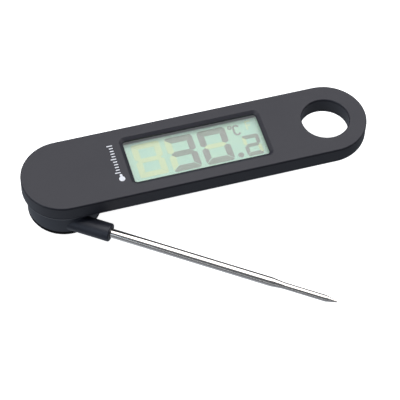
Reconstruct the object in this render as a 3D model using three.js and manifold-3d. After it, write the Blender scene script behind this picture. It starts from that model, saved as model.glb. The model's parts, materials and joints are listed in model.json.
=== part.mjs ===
// A folding digital probe thermometer for meat.
//
// Units are millimetres and +Z is up. The origin is on the hinge axis, at the flat base of the hub.
// +X runs from the hinge to the hanging hole, and the display faces up. The probe folds flat under
// the handle and swings out from it about the vertical hinge axis; it is drawn part of the way open.

import * as THREE from 'three';
import { mergeVertices } from 'three/addons/utils/BufferGeometryUtils.js';
import Module from 'manifold-3d';

const wasm = await Module();
wasm.setup();

// ---------------------------------------------------------------- driving dimensions

const GAP = 0.3; // clearance between neighbouring pieces
const OVERCUT = 1; // how far a cutting tool runs past the face it opens

// Handle: a straight-sided body with two round ends, one over the hinge and one round the hanging hole.
const HANDLE_RADIUS = 18;
const ROUND_SPACING = 117;
const UNDERSIDE = 12;
const HANDLE_TOP = 22;
const PARTING = 15;
const WALL = 2;
const FLOOR_TOP = UNDERSIDE + 1.6;
const ROOF = HANDLE_TOP - 2;
const TOP_EDGE_ROUND = 0.4;
const BOTTOM_EDGE_ROUND = 3;
const HANG_HOLE_RADIUS = 10.4;
const HANG_HOLE_TOP_ROUND = 0.8;
const TONGUE = { inset: 1.2, height: 1.7 };

// Display window: a sloping surround that leads down to the opening over the lens.
const WINDOW = { x0: 28.7, x1: 88.4, halfWidth: 11.2, corner: 1.2, slopeWidth: 1.65, slopeDepth: 1 };
const WINDOW_LAND_BOTTOM = HANDLE_TOP - 2.4;
const LENS = { x0: 26.9, x1: 90.3, halfWidth: 13.6, corner: 1.5, bottom: 18.4, top: 19.5 };

// Display and circuit board.
const GLASS = { x0: 27.7, x1: 89.7, y0: -11.9, y1: 13.4, bottom: 16.4, top: 17.8, ledge: 1.3 };
const HOLDER = { x0: 26.6, x1: 90.5, halfWidth: 14.3, bottom: 16, top: 18.3 };
const HOLDER_LIP = { x0: 28.5, x1: 89.3, y0: -11.9, y1: 13.1, bottom: 17.9 };
const BOARD = { x0: 25, x1: 88.9, halfWidth: 15, bottom: 14.7, top: 15.5 };
const BOARD_NECK = { x0: 8, halfWidth: 7 };

// Button cell, its contacts and its cover.
const CELL = { x: 96.6, radius: 5.8, bottom: 13.75, top: 19.15 };
const COVER_RADIUS = 6.5;
const COVER_OPENING_RADIUS = 6.75;
const LUG = { outer: 7.6, bottom: 13.75, top: 14.5, halfAngle: 14 };
const COVER_TURN = 40; // from locked to where the lugs meet their notches, in degrees

// Unit button in the floor of the back shell.
const BUTTON = { x: 72, y: 7, radius: 2.5, flange: 3.5 };

// Case screws, seen from below.
const CASE_SCREW_PLACES = [[20.5, 11.5], [20.5, -11.5], [98.3, 12.1], [98.3, -12.1]];
const SCREW_SEAT = 14;

// Hub, hinge and probe.
const HUB_RADIUS = 16;
const HUB_TOP = UNDERSIDE - GAP;
const HUB_WEB_BOTTOM = 8.8;
const HUB_EDGE_ROUND = 1.5;
const CAP_RADIUS = 13.2;
const CAP_THICKNESS = 1.5;
const PIVOT_RADIUS = 6.5;
const PIVOT_END = 8.6;
const HINGE_SCREW_OFFSET = 4.2;
const PROBE_ANGLE = 35.7; // how far the probe is swung out from folded, in degrees
const PROBE_OFFSET = 10.5; // the probe runs beside the hinge axis, not through it
const PROBE_HEIGHT = 6;
const SLEEVE = { radius: 4, end: 25.6, round: 0.7 };
const TUBE = {
  start: 7, radius: 2, bore: 1.5, taperStart: 97.1, taperEnd: 102.2,
  tipRadius: 1.38, tipBore: 0.95, boreEnd: 121, coneStart: 120.5, end: 125.6, tipRound: 0.35,
};

// Facets round a full turn.
const LARGE_ROUND = 40;
const MEDIUM_ROUND = 24;
const SMALL_ROUND = 12;

// ---------------------------------------------------------------- materials

const look = (color, roughness, metalness) => new THREE.MeshStandardMaterial({ color, roughness, metalness });

const SOFT_BLACK = () => look(0x505056, 0.7, 0);
const HUB_BLACK = () => look(0x3b3d45, 0.55, 0);
const CLEAR = () => look(0xe8f2ee, 0.08, 0);
const LCD_MINT = () => look(0xc4dcce, 0.35, 0);
const WHITE_PLASTIC = () => look(0xd8d8d4, 0.6, 0);
const RUBBER = () => look(0x1c1c1e, 0.85, 0);
const BOARD_GREEN = () => look(0x1f6b3c, 0.5, 0);
const EPOXY = () => look(0x141414, 0.4, 0);
const STAINLESS = () => look(0xc8c8c8, 0.16, 1);
const NICKEL = () => look(0xb9b4a6, 0.3, 1);
const REED_GLASS = () => look(0x9fb8a4, 0.1, 0);
const RED_WIRE = () => look(0xa81e1a, 0.5, 0);
const BLACK_WIRE = () => look(0x1a1a1a, 0.5, 0);
const ENAMEL = () => look(0x8a4b22, 0.4, 0);

// ---------------------------------------------------------------- solids

/** A closed three.js geometry as a solid that can be cut and joined. */
function solid(geometry) {
  const bare = geometry.clone();
  bare.deleteAttribute('normal');
  bare.deleteAttribute('uv');
  const merged = mergeVertices(bare, 1e-4);
  const corners = Array.from(merged.index.array);
  const triVerts = [];
  for (let i = 0; i < corners.length; i += 3) {
    const [a, b, c] = corners.slice(i, i + 3);
    if (a !== b && b !== c && c !== a) triVerts.push(a, b, c);
  }
  const vertProperties = new Float32Array(merged.attributes.position.array);
  const mesh = new wasm.Mesh({ numProp: 3, vertProperties, triVerts: new Uint32Array(triVerts) });
  return new wasm.Manifold(mesh);
}

function join(first, ...others) {
  return others.reduce((whole, piece) => whole.add(piece), first);
}

function cut(first, ...tools) {
  return tools.reduce((whole, tool) => whole.subtract(tool), first);
}

function box(x0, x1, y0, y1, z0, z1) {
  const geometry = new THREE.BoxGeometry(x1 - x0, y1 - y0, z1 - z0);
  geometry.translate((x0 + x1) / 2, (y0 + y1) / 2, (z0 + z1) / 2);
  return solid(geometry);
}

/** An upright round bar. */
function bar(x, y, radius, z0, z1, facets = MEDIUM_ROUND) {
  const geometry = new THREE.CylinderGeometry(radius, radius, z1 - z0, facets);
  geometry.rotateX(Math.PI / 2);
  geometry.translate(x, y, (z0 + z1) / 2);
  return solid(geometry);
}

/** An upright turned piece from [radius, height] points, listed upwards round the outside. */
function turned(profile, facets = MEDIUM_ROUND) {
  const geometry = new THREE.LatheGeometry(profile.map(([r, z]) => new THREE.Vector2(r, z)), facets);
  geometry.rotateX(Math.PI / 2);
  return solid(geometry);
}

/** Points of a round stretch in a profile, with its angles in degrees. */
function arc(centreRadius, centreHeight, radius, from, to, steps) {
  return Array.from({ length: steps + 1 }, (_, i) => {
    const angle = THREE.MathUtils.degToRad(from + ((to - from) * i) / steps);
    return [centreRadius + radius * Math.cos(angle), centreHeight + radius * Math.sin(angle)];
  });
}

/** A flat outline raised between two heights, with both of its edges rounded by edge. */
function slab(outline, z0, z1, { edge = 0, edgeSteps = 3, facets = LARGE_ROUND } = {}) {
  const geometry = new THREE.ExtrudeGeometry(outline, {
    depth: z1 - z0 - 2 * edge,
    bevelEnabled: edge > 0,
    bevelThickness: edge,
    bevelSize: edge,
    bevelOffset: -edge,
    bevelSegments: edgeSteps,
    curveSegments: facets / 2,
  });
  geometry.translate(0, 0, z0 + edge);
  return solid(geometry);
}

/** The handle's outline, drawn in from its edge by inset. */
function handleOutline(inset) {
  const r = HANDLE_RADIUS - inset;
  const shape = new THREE.Shape();
  shape.moveTo(0, -r);
  shape.lineTo(ROUND_SPACING, -r);
  shape.absarc(ROUND_SPACING, 0, r, -Math.PI / 2, Math.PI / 2, false);
  shape.lineTo(0, r);
  shape.absarc(0, 0, r, Math.PI / 2, Math.PI * 1.5, false);
  return shape;
}

function roundedRectangle(x0, x1, y0, y1, r) {
  const shape = new THREE.Shape();
  shape.moveTo(x0 + r, y0);
  shape.lineTo(x1 - r, y0);
  shape.absarc(x1 - r, y0 + r, r, -Math.PI / 2, 0, false);
  shape.lineTo(x1, y1 - r);
  shape.absarc(x1 - r, y1 - r, r, 0, Math.PI / 2, false);
  shape.lineTo(x0 + r, y1);
  shape.absarc(x0 + r, y1 - r, r, Math.PI / 2, Math.PI, false);
  shape.lineTo(x0, y0 + r);
  shape.absarc(x0 + r, y0 + r, r, Math.PI, Math.PI * 1.5, false);
  return shape;
}

/** A round wire or bar that follows points. */
function wire(points, radius, steps) {
  const section = new THREE.Shape();
  section.absarc(0, 0, radius, 0, Math.PI * 2, false);
  const places = points.map((p) => new THREE.Vector3(...p));
  const extrudePath = new THREE.CatmullRomCurve3(places, false, 'centripetal');
  return solid(new THREE.ExtrudeGeometry(section, { steps, extrudePath, curveSegments: 3 }));
}

/** A cross-head screw that stands head down, with its seat at z = 0 and its shank above. */
function screw({ headRadius, headHeight, shankRadius, shankLength }) {
  const blank = turned([
    [0, -headHeight],
    ...arc(headRadius - 0.4, 0.4 - headHeight, 0.4, -90, 0, 2),
    [headRadius, 0],
    [shankRadius, 0],
    [shankRadius, shankLength - shankRadius],
    [0, shankLength],
  ], SMALL_ROUND);
  const reach = headRadius * 0.6;
  const depth = headHeight * 0.6 - headHeight;
  return cut(
    blank,
    box(-reach, reach, -0.22, 0.22, -headHeight - OVERCUT, depth),
    box(-0.22, 0.22, -reach, reach, -headHeight - OVERCUT, depth),
  );
}

function part(name, body, material) {
  const { numProp, vertProperties, triVerts } = body.getMesh();
  const geometry = new THREE.BufferGeometry();
  geometry.setAttribute('position', new THREE.BufferAttribute(new Float32Array(vertProperties), numProp));
  geometry.setIndex(new THREE.BufferAttribute(new Uint32Array(triVerts), 1));
  geometry.computeVertexNormals();
  const mesh = new THREE.Mesh(geometry, material);
  mesh.name = name;
  return mesh;
}

// ---------------------------------------------------------------- shells

/** The hanging hole through both shells, with a small round at the top and a wide one below. */
function hangHoleTool() {
  const low = BOTTOM_EDGE_ROUND;
  const high = HANG_HOLE_TOP_ROUND;
  const tool = turned([
    [0, UNDERSIDE - OVERCUT],
    [HANG_HOLE_RADIUS + low, UNDERSIDE - OVERCUT],
    ...arc(HANG_HOLE_RADIUS + low, UNDERSIDE + low, low, 270, 180, 3),
    ...arc(HANG_HOLE_RADIUS + high, HANDLE_TOP - high, high, 180, 90, 2),
    [HANG_HOLE_RADIUS + high, HANDLE_TOP + OVERCUT],
    [0, HANDLE_TOP + OVERCUT],
  ], LARGE_ROUND);
  return tool.translate([ROUND_SPACING, 0, 0]);
}

const holeRing = (radius, z0, z1) => bar(ROUND_SPACING, 0, radius, z0, z1, LARGE_ROUND);

const placed = (body, places) => places.map(([x, y]) => body.translate([x, y, 0]));

/** The opening for the display, with its sloping surround. */
function windowTool() {
  const { x0, x1, halfWidth, corner, slopeWidth, slopeDepth } = WINDOW;
  const outline = roundedRectangle(x0, x1, -halfWidth, halfWidth, corner);
  const surround = new THREE.ExtrudeGeometry(outline, {
    depth: OVERCUT,
    bevelEnabled: true,
    bevelThickness: slopeDepth,
    bevelSize: slopeWidth,
    bevelSegments: 1,
    curveSegments: 5,
  });
  surround.translate(0, 0, HANDLE_TOP);
  return join(slab(outline, LENS.bottom, HANDLE_TOP, { facets: 10 }), solid(surround));
}

/** An upright wall between two outlines of the handle, or two radii round the hanging hole. */
function tongueRing(outer, inner, z0, z1) {
  const inside = slab(handleOutline(inner), z0 - OVERCUT, z1 + OVERCUT);
  const edge = cut(slab(handleOutline(outer), z0, z1), inside);
  const ringOut = HANG_HOLE_RADIUS + WALL;
  const hole = cut(holeRing(ringOut, z0, z1), holeRing(HANG_HOLE_RADIUS + outer, z0 - OVERCUT, z1 + OVERCUT));
  return join(edge, hole);
}

function frontShell() {
  const start = PARTING + GAP;
  const blank = slab(handleOutline(0), PARTING - OVERCUT, HANDLE_TOP, { edge: TOP_EDGE_ROUND, edgeSteps: 1 });
  const outside = blank.intersect(box(-50, 200, -50, 50, start, HANDLE_TOP + OVERCUT));
  const postStart = 15.6;
  const cellGuide = cut(
    bar(CELL.x, 0, CELL.radius + 1.3, 15.6, ROOF),
    bar(CELL.x, 0, CELL.radius + GAP, 15, ROOF + OVERCUT),
    box(80, CELL.x + 1, -20, 20, 15, ROOF + OVERCUT),
  );
  const padReach = LENS.halfWidth + 1;
  const windowPad = box(LENS.x0 - 1, LENS.x1 + 1, -padReach, padReach, WINDOW_LAND_BOTTOM, ROOF + OVERCUT);
  const hollow = cut(
    slab(handleOutline(WALL), PARTING - OVERCUT, ROOF),
    holeRing(HANG_HOLE_RADIUS + WALL, PARTING - 2 * OVERCUT, ROOF + OVERCUT),
    windowPad,
    ...placed(bar(0, 0, 2.6, postStart, ROOF + OVERCUT, SMALL_ROUND), CASE_SCREW_PLACES),
    cellGuide,
  );
  return cut(
    outside,
    hollow,
    hangHoleTool(),
    windowTool(),
    tongueRing(TONGUE.inset - GAP, WALL, PARTING, PARTING + TONGUE.height + GAP),
    ...placed(bar(0, 0, 1.2, postStart - OVERCUT, 19, SMALL_ROUND), CASE_SCREW_PLACES),
  );
}

/** The round opening under the cell, with two notches that let the cover's lugs in. */
function coverOpeningTool() {
  const opening = bar(CELL.x, 0, COVER_OPENING_RADIUS, UNDERSIDE - OVERCUT, FLOOR_TOP + 2, MEDIUM_ROUND);
  const notchReach = LUG.outer + GAP;
  const notch = bar(0, 0, notchReach, UNDERSIDE - OVERCUT, FLOOR_TOP + OVERCUT, MEDIUM_ROUND)
    .intersect(box(-2.4, 2.4, -notchReach, notchReach, UNDERSIDE - 2 * OVERCUT, FLOOR_TOP + 2))
    .rotate([0, 0, -COVER_TURN])
    .translate([CELL.x, 0, 0]);
  return join(opening, notch);
}

function backShell() {
  const blankTop = PARTING + 2 * BOTTOM_EDGE_ROUND;
  const blank = slab(handleOutline(0), UNDERSIDE, blankTop, { edge: BOTTOM_EDGE_ROUND });
  const outside = blank.intersect(box(-50, 200, -50, 50, UNDERSIDE - OVERCUT, PARTING));
  const standoffs = [[32, 13], [32, -13], [60, 13], [60, -13], [84, 13], [84, -13]];
  const hollow = cut(
    slab(handleOutline(WALL), FLOOR_TOP, PARTING + OVERCUT),
    holeRing(HANG_HOLE_RADIUS + WALL, UNDERSIDE, PARTING + 2 * OVERCUT),
    bar(0, 0, 7, UNDERSIDE, 14.4),
    ...placed(bar(0, 0, 3.2, UNDERSIDE, PARTING + 2 * OVERCUT, SMALL_ROUND), CASE_SCREW_PLACES),
    ...placed(bar(0, 0, 1.2, UNDERSIDE, BOARD.bottom - 0.1, 12), standoffs),
  );
  const tongue = tongueRing(TONGUE.inset, WALL, PARTING - 0.5, PARTING + TONGUE.height);
  const pivot = bar(0, 0, PIVOT_RADIUS, PIVOT_END, UNDERSIDE + OVERCUT, MEDIUM_ROUND);
  return cut(
    join(cut(outside, hollow), tongue, pivot),
    hangHoleTool(),
    bar(0, 0, 2, PIVOT_END - OVERCUT, PARTING + OVERCUT, SMALL_ROUND),
    ...[-1, 1].map((side) => bar(0, side * HINGE_SCREW_OFFSET, 1, PIVOT_END - OVERCUT, 13.8, SMALL_ROUND)),
    ...placed(bar(0, 0, 2.2, UNDERSIDE - OVERCUT, SCREW_SEAT, SMALL_ROUND), CASE_SCREW_PLACES),
    ...placed(bar(0, 0, 1.3, UNDERSIDE, PARTING + 3, SMALL_ROUND), CASE_SCREW_PLACES),
    bar(BUTTON.x, BUTTON.y, BUTTON.radius + GAP, UNDERSIDE - OVERCUT, FLOOR_TOP + OVERCUT, SMALL_ROUND),
    coverOpeningTool(),
  );
}

function caseScrew([x, y]) {
  const seat = SCREW_SEAT - 0.1;
  return screw({ headRadius: 1.9, headHeight: 1.3, shankRadius: 1, shankLength: 4.8 })
    .translate([x, y, seat]);
}

// ---------------------------------------------------------------- display

function lens() {
  const { x0, x1, halfWidth, corner, bottom, top } = LENS;
  return slab(roundedRectangle(x0, x1, -halfWidth, halfWidth, corner), bottom, top, { facets: 10 });
}

/** Two panes, of which the upper one runs on past the lower to carry the contacts. */
function lcdGlass() {
  const middle = (GLASS.bottom + GLASS.top) / 2;
  return join(
    box(GLASS.x0, GLASS.x1, GLASS.y0, GLASS.y1, GLASS.bottom, middle),
    box(GLASS.x0, GLASS.x1, GLASS.y0 - GLASS.ledge, GLASS.y1, middle, GLASS.top),
  );
}

function lcdHolder() {
  const { x0, x1, halfWidth, bottom, top } = HOLDER;
  const play = 0.2;
  const pocketStart = GLASS.y0 - GLASS.ledge - play;
  const pocketEnd = GLASS.y1 + play;
  return cut(
    box(x0, x1, -halfWidth, halfWidth, bottom, top),
    box(GLASS.x0 - play, GLASS.x1 + play, pocketStart, pocketEnd, bottom - OVERCUT, HOLDER_LIP.bottom),
    box(HOLDER_LIP.x0, HOLDER_LIP.x1, HOLDER_LIP.y0, HOLDER_LIP.y1, bottom, top + OVERCUT),
  );
}

/** The rubber strip that joins the display's contacts to the board. */
function connectorStrip() {
  const contactFace = (GLASS.bottom + GLASS.top) / 2;
  return box(31, 86, GLASS.y0 - GLASS.ledge + 0.1, GLASS.y0 - 0.2, BOARD.top + 0.1, contactFace - 0.1);
}

// ---------------------------------------------------------------- board

function circuitBoard() {
  const neck = BOARD_NECK.halfWidth;
  const wide = BOARD.halfWidth;
  const outline = new THREE.Shape([
    [BOARD_NECK.x0, -neck], [BOARD.x0, -neck], [BOARD.x0, -wide], [BOARD.x1, -wide],
    [BOARD.x1, wide], [BOARD.x0, wide], [BOARD.x0, neck], [BOARD_NECK.x0, neck],
  ].map(([x, y]) => new THREE.Vector2(x, y)));
  return slab(outline, BOARD.bottom, BOARD.top);
}

/** The drop of epoxy over the measuring chip. */
function chipCover() {
  const base = BOARD.top + 0.1;
  const dome = [[0, base], [4, base], [3.4, base + 0.35], [2, base + 0.58], [0, base + 0.65]];
  return turned(dome, SMALL_ROUND).translate([50, 2, 0]);
}

/** A glass reed switch that lies across the board over the path of the hub's magnet. */
function reedSwitch() {
  const bottomEnd = arc(0.3, -4.9, 0.6, -90, 0, 2);
  const topEnd = arc(0.3, 4.9, 0.6, 0, 90, 2);
  const capsule = turned([[0, -5.5], ...bottomEnd, ...topEnd, [0, 5.5]], SMALL_ROUND);
  return capsule.rotate([90, 0, 0]).translate([12.6, 0, BOARD.top + 1]);
}

/** The metal snap dome under the board that the unit button presses. */
function snapDome() {
  const top = BOARD.bottom - 0.05;
  return turned([[0, top - 0.35], [1.3, top - 0.3], [2.4, top - 0.12], [2.4, top], [0, top]], SMALL_ROUND)
    .translate([BUTTON.x, BUTTON.y, 0]);
}

function unitButton() {
  const { x, y, radius, flange } = BUTTON;
  const foot = UNDERSIDE + 0.25;
  const collar = FLOOR_TOP + 0.1;
  return turned([
    [0, foot + 0.25], [radius * 0.6, foot + 0.12], [radius - 0.3, foot], [radius, foot + 0.3],
    [radius, collar], [flange, collar], [flange, collar + 0.25], [0, collar + 0.25],
  ], SMALL_ROUND).translate([x, y, 0]);
}

// ---------------------------------------------------------------- power

/** A button cell with its smaller negative cap on top. */
function buttonCell() {
  const { radius, bottom, top } = CELL;
  return turned([
    [0, bottom], [radius - 0.4, bottom], [radius, bottom + 0.4], [radius, top - 0.9],
    [radius - 0.5, top - 0.5], [radius - 1.1, top - 0.5], [radius - 1.3, top], [0, top],
  ], MEDIUM_ROUND).translate([CELL.x, 0, 0]);
}

/** Nickel strip from the board to the side of the cell. */
function positiveContact() {
  const strip = 0.3;
  const side = CELL.radius + GAP;
  const foot = BOARD.top + 0.1;
  return join(
    box(85.8, 93.5, side, side + 2.2, foot, foot + strip),
    box(93.2, 97.3, side, side + strip, foot, 18.4),
  );
}

/** Nickel strip from the board up and over the top of the cell. */
function negativeContact() {
  const strip = 0.3;
  const side = CELL.radius + GAP;
  const foot = BOARD.top + 0.1;
  const overCell = CELL.top + 0.1;
  return join(
    box(85.8, 93.5, -side - 2.2, -side, foot, foot + strip),
    box(93.2, 97.3, -side - strip, -side, foot, overCell + strip),
    box(95.3, 97.3, -side - strip, 2.5, overCell, overCell + strip),
  );
}

/** The bayonet cover, with a coin slot, a groove for its seal and two lugs. */
function batteryCover() {
  const rim = COVER_RADIUS;
  const groove = 5.9;
  const skirt = CELL.radius + 0.2;
  const body = turned([
    [0, UNDERSIDE], [rim - 0.3, UNDERSIDE], [rim, UNDERSIDE + 0.3], [rim, 12.55], [groove, 12.55],
    [groove, 13.25], [rim, 13.25], [rim, LUG.top], [skirt, LUG.top], [skirt, 13.55], [0, 13.55],
  ], MEDIUM_ROUND).translate([CELL.x, 0, 0]);
  const lugWidth = 2 * LUG.outer * Math.sin(THREE.MathUtils.degToRad(LUG.halfAngle));
  const lugs = cut(
    bar(0, 0, LUG.outer, LUG.bottom, LUG.top, MEDIUM_ROUND)
      .intersect(box(-lugWidth / 2, lugWidth / 2, -10, 10, LUG.bottom - OVERCUT, LUG.top + OVERCUT)),
    bar(0, 0, rim - 0.2, LUG.bottom - OVERCUT, LUG.top + OVERCUT, MEDIUM_ROUND),
  ).translate([CELL.x, 0, 0]);
  const coinSlot = box(CELL.x - 5, CELL.x + 5, -0.8, 0.8, UNDERSIDE - OVERCUT, UNDERSIDE + 0.8);
  return cut(join(body, lugs), coinSlot);
}

function coverSeal() {
  const geometry = new THREE.TorusGeometry(6.35, 0.26, 6, MEDIUM_ROUND);
  geometry.translate(CELL.x, 0, 12.9);
  return solid(geometry);
}

// ---------------------------------------------------------------- hinge

/** A dished spring washer that steadies the hub against the handle. */
function springWasher() {
  return turned([[7.2, 11.3], [9.6, 10.85], [9.6, 11.2], [7.2, 11.65], [7.2, 11.3]], MEDIUM_ROUND);
}

function hingeRetainer() {
  return cut(
    bar(0, 0, 9.4, PIVOT_END - 1.2, PIVOT_END - 0.1, MEDIUM_ROUND),
    bar(0, 0, 2.4, 0, PIVOT_END, SMALL_ROUND),
    ...[-1, 1].map((side) => bar(0, side * HINGE_SCREW_OFFSET, 1.1, 0, PIVOT_END, SMALL_ROUND)),
  );
}

function hingeScrew(side) {
  return screw({ headRadius: 1.6, headHeight: 0.9, shankRadius: 0.8, shankLength: 6 })
    .translate([0, side * HINGE_SCREW_OFFSET, PIVOT_END - 1.3]);
}

/** A wire from the foot of the hollow pivot up to the board. */
function handleLead(side) {
  const x = 0.8 * side;
  const y = 1.1 * side;
  const rise = [[x, 0, 6.5], [x, 0, 10], [x, 0, 14]];
  const run = [[2.5 + x, y, 16.3], [6, y, 16.8], [9, y, 16.2], [10.5, y, 16.05]];
  return wire([...rise, ...run], 0.42, 12);
}

// ---------------------------------------------------------------- probe

/** Lays a piece turned about Z along +X on the probe's axis. */
const alongProbe = (body) => body.rotate([0, 90, 0]).translate([0, -PROBE_OFFSET, PROBE_HEIGHT]);

function hub() {
  const disc = turned([
    [0, 0],
    ...arc(HUB_RADIUS - HUB_EDGE_ROUND, HUB_EDGE_ROUND, HUB_EDGE_ROUND, -90, 0, 4),
    [HUB_RADIUS, HUB_TOP - 0.3],
    [HUB_RADIUS - 0.3, HUB_TOP],
    [0, HUB_TOP],
  ], LARGE_ROUND);
  const { radius, end, round } = SLEEVE;
  const sleeveEnd = arc(radius - round, end - round, round, 0, 90, 3);
  const sleeve = alongProbe(turned([[0, 0], [radius, 0], ...sleeveEnd, [0, end]]));
  return cut(
    join(disc, sleeve),
    bar(0, 0, CAP_RADIUS + GAP, -OVERCUT, CAP_THICKNESS + 0.2, LARGE_ROUND),
    bar(0, 0, 12.9, 0, HUB_WEB_BOTTOM, LARGE_ROUND),
    bar(0, 0, PIVOT_RADIUS + GAP, HUB_WEB_BOTTOM - OVERCUT, HUB_TOP + OVERCUT, MEDIUM_ROUND),
    bar(0, 0, 9.9, 10.7, HUB_TOP + OVERCUT, MEDIUM_ROUND),
    bar(12.6, 0, 1.8, 9.5, HUB_TOP + OVERCUT, SMALL_ROUND),
    alongProbe(bar(0, 0, TUBE.radius + GAP, 0, SLEEVE.end + OVERCUT, SMALL_ROUND)),
  );
}

/** The flat cap that closes the foot of the hub, with a ring that steadies it inside. */
function baseCap() {
  const r = CAP_RADIUS;
  return turned([
    [0, 0], [r - 0.3, 0], [r, 0.3], [r, CAP_THICKNESS], [12.6, CAP_THICKNESS], [12.6, 2.8], [11.4, 2.8],
    [11.4, CAP_THICKNESS], [0, CAP_THICKNESS],
  ], LARGE_ROUND);
}

function switchMagnet() {
  return bar(12.6, 0, 1.5, 9.7, 11.4, SMALL_ROUND);
}

/** The steel tube, drawn down to a thin closed point. */
function probeTube() {
  const t = TUBE;
  const roundEnd = t.end - t.tipRound;
  return alongProbe(turned([
    [t.bore, t.start], [t.radius, t.start],
    [t.radius, t.taperStart], [t.tipRadius, t.taperEnd], [t.tipRadius, t.coneStart],
    ...arc(0, roundEnd, t.tipRound, 15, 90, 3),
    [0, t.boreEnd], [t.tipBore, t.boreEnd - 0.5],
    [t.tipBore, t.taperEnd], [t.bore, t.taperStart], [t.bore, t.start],
  ], SMALL_ROUND));
}

/** The glass bead thermistor in the tip. */
function thermistor() {
  const rear = arc(0, 117.5, 0.7, -60, 0, 2);
  const front = arc(0, 119.3, 0.7, 0, 90, 3);
  return alongProbe(turned([[0, 116.8], ...rear, ...front], SMALL_ROUND));
}

/** A fine wire from the thermistor down the tube and across to the hinge axis. */
function sensorLead(side) {
  const y = -PROBE_OFFSET + 0.42 * side;
  const z = PROBE_HEIGHT;
  return wire([
    [116.4, y, z], [60, y, z], [12, y, z], [7, y, z], [3.6 + 0.4 * side, -9.4 + 0.4 * side, 5.4],
    [1.4 + 0.5 * side, -5, 4.5], [0.7 * side, -1.4, 4.3], [0.7 * side, 0, 4.9], [0.7 * side, 0, 5.9],
  ], 0.28, 24);
}

// ---------------------------------------------------------------- assembly

const handle = new THREE.Group();
handle.add(
  part('front_shell', frontShell(), SOFT_BLACK()),
  part('back_shell', backShell(), SOFT_BLACK()),
  part('display_lens', lens(), CLEAR()),
  part('lcd_glass', lcdGlass(), LCD_MINT()),
  part('lcd_holder', lcdHolder(), WHITE_PLASTIC()),
  part('lcd_connector_strip', connectorStrip(), RUBBER()),
  part('circuit_board', circuitBoard(), BOARD_GREEN()),
  part('chip_cover', chipCover(), EPOXY()),
  part('reed_switch', reedSwitch(), REED_GLASS()),
  part('snap_dome', snapDome(), NICKEL()),
  part('unit_button', unitButton(), RUBBER()),
  part('button_cell', buttonCell(), NICKEL()),
  part('battery_contact_positive', positiveContact(), NICKEL()),
  part('battery_contact_negative', negativeContact(), NICKEL()),
  part('battery_cover', batteryCover(), SOFT_BLACK()),
  part('battery_cover_seal', coverSeal(), RUBBER()),
  part('spring_washer', springWasher(), STAINLESS()),
  part('hinge_retainer', hingeRetainer(), STAINLESS()),
  part('handle_lead_red', handleLead(1), RED_WIRE()),
  part('handle_lead_black', handleLead(-1), BLACK_WIRE()),
);
CASE_SCREW_PLACES.forEach((place, i) => {
  handle.add(part(`case_screw_${i + 1}`, caseScrew(place), STAINLESS()));
});
[-1, 1].forEach((side, i) => {
  handle.add(part(`hinge_screw_${i + 1}`, hingeScrew(side), STAINLESS()));
});

const probe = new THREE.Group();
probe.rotation.z = -THREE.MathUtils.degToRad(PROBE_ANGLE);
probe.add(
  part('probe_hub', hub(), HUB_BLACK()),
  part('hub_base_cap', baseCap(), HUB_BLACK()),
  part('switch_magnet', switchMagnet(), NICKEL()),
  part('probe_tube', probeTube(), STAINLESS()),
  part('thermistor', thermistor(), REED_GLASS()),
);
[-1, 1].forEach((side, i) => {
  probe.add(part(`sensor_lead_${i + 1}`, sensorLead(side), ENAMEL()));
});

const thermometer = new THREE.Group();
thermometer.add(handle, probe);

export default thermometer;
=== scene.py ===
# Looks of the folding probe thermometer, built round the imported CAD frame.
#
# Points and sizes in this script are millimetres in the frame's axes, and become metres when a
# piece is made. +X runs from the hinge to the hanging hole, +Z is up and the display faces up.

import json
import math

import bmesh
import bpy
from mathutils import Matrix, Vector
from mathutils.geometry import tessellate_polygon


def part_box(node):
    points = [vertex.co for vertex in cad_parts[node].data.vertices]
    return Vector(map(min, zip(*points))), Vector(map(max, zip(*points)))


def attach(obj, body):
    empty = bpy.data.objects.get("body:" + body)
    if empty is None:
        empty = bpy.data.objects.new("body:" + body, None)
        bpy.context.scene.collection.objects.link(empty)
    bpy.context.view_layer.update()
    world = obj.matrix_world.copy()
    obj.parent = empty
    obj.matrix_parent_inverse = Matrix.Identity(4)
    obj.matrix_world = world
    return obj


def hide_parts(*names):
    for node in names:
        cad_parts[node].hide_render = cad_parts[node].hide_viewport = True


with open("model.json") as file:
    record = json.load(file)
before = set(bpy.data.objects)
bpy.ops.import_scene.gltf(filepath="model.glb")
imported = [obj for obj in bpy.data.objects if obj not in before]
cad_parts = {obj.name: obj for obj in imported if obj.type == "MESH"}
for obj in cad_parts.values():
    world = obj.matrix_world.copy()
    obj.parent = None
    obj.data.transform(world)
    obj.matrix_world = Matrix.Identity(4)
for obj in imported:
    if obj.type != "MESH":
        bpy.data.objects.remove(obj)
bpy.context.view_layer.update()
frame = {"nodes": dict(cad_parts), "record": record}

MM = 0.001


# ---------------------------------------------------------------- sizes from the frame


def lowest(node):
    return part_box(node)[0] / MM


def highest(node):
    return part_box(node)[1] / MM


def middle(node):
    return (lowest(node) + highest(node)) / 2


# Handle.
RADIUS = highest("front_shell").y
SPACING = highest("front_shell").x - RADIUS
TOP = highest("front_shell").z
UNDERSIDE = lowest("battery_cover").z
PARTING = UNDERSIDE + 3
WALL = 2
ROOF = TOP - WALL
FLOOR_TOP = UNDERSIDE + 1.6
TOP_ROUND = 0.5
BOTTOM_ROUND = 3
SEAM_HALF_GAP = 0.04
SEAM_ROUND = 0.12
INK = 0.04  # thickness of the printed scale, which lies level with the top of the frame
HOLE_RADIUS = 10.4
HOLE_TOP_ROUND = 0.6
HOLE_RING = HOLE_RADIUS + WALL
EDGE_LINE_WIDTH = 0.35
EDGE_LINE_DEPTH = 0.2
EDGE_LINE_EASE = 0.05

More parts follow.
